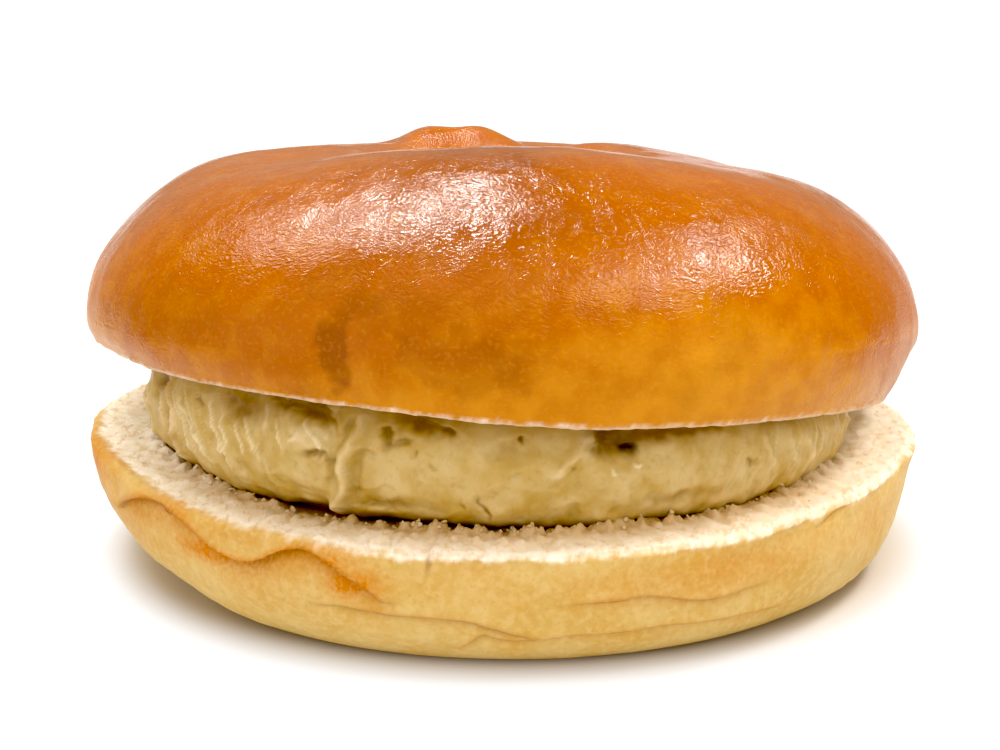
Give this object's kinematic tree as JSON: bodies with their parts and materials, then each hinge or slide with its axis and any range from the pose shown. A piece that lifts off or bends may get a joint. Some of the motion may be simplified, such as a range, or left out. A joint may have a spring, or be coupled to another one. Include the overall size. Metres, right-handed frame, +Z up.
{
  "type": "bagel sandwich",
  "caption": "Split glazed bagel holding a thick pale round patty, the top half tipped back so that the filling shows along the front.",
  "frame": {"origin": "centre of the sandwich's box at the height of the surface it stands on", "axes": "+Z up, -Y towards the open front where the patty shows, +X to the right seen from the front"},
  "size_m": [0.1122, 0.1144, 0.0586],
  "materials": {
    "pale_crust": "soft pale golden crust, white porous crumb on the cut face",
    "patty": "moist cooked surface, satin",
    "glazed_crust": "glossy egg-washed orange-brown crust, thin pale crumb line at the cut"
  },
  "bodies": {
    "root": {"bagel_bottom": "pale_crust", "patty": "patty", "bagel_top": "glazed_crust"}
  },
  "joints": []
}
